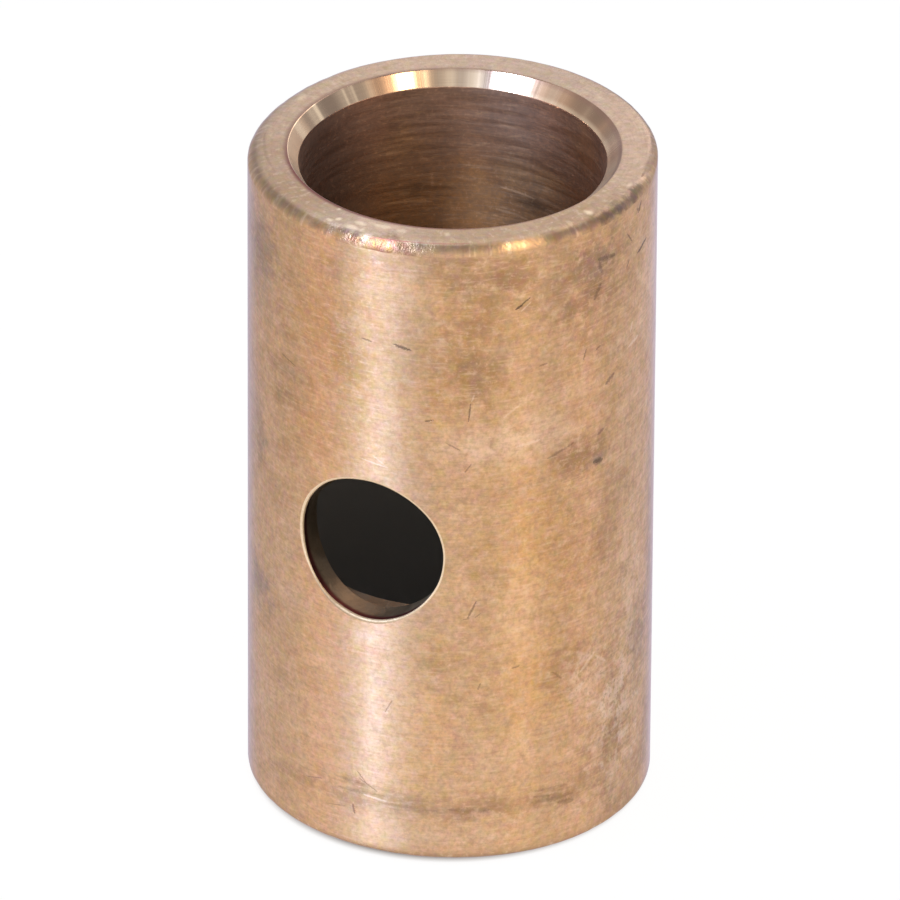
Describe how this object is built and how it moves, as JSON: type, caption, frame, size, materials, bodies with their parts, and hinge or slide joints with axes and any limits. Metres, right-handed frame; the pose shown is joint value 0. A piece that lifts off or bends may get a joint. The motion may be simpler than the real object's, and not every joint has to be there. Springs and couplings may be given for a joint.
{
  "type": "cross-drilled sleeve bush",
  "caption": "Plain turned bronze sleeve with a chamfered bore, a hole through one side of the wall and an internal relief around that hole.",
  "frame": {"origin": "centre of the lower end face, on the bore's axis", "axes": "+Z along the bore, up from the lower end; the side hole looks along -Y"},
  "size_m": [0.0254, 0.0254, 0.044],
  "materials": {
    "turned_bronze": "satin turned bronze with brown handling stains"
  },
  "bodies": {
    "root": {"sleeve": "turned_bronze"}
  },
  "joints": []
}
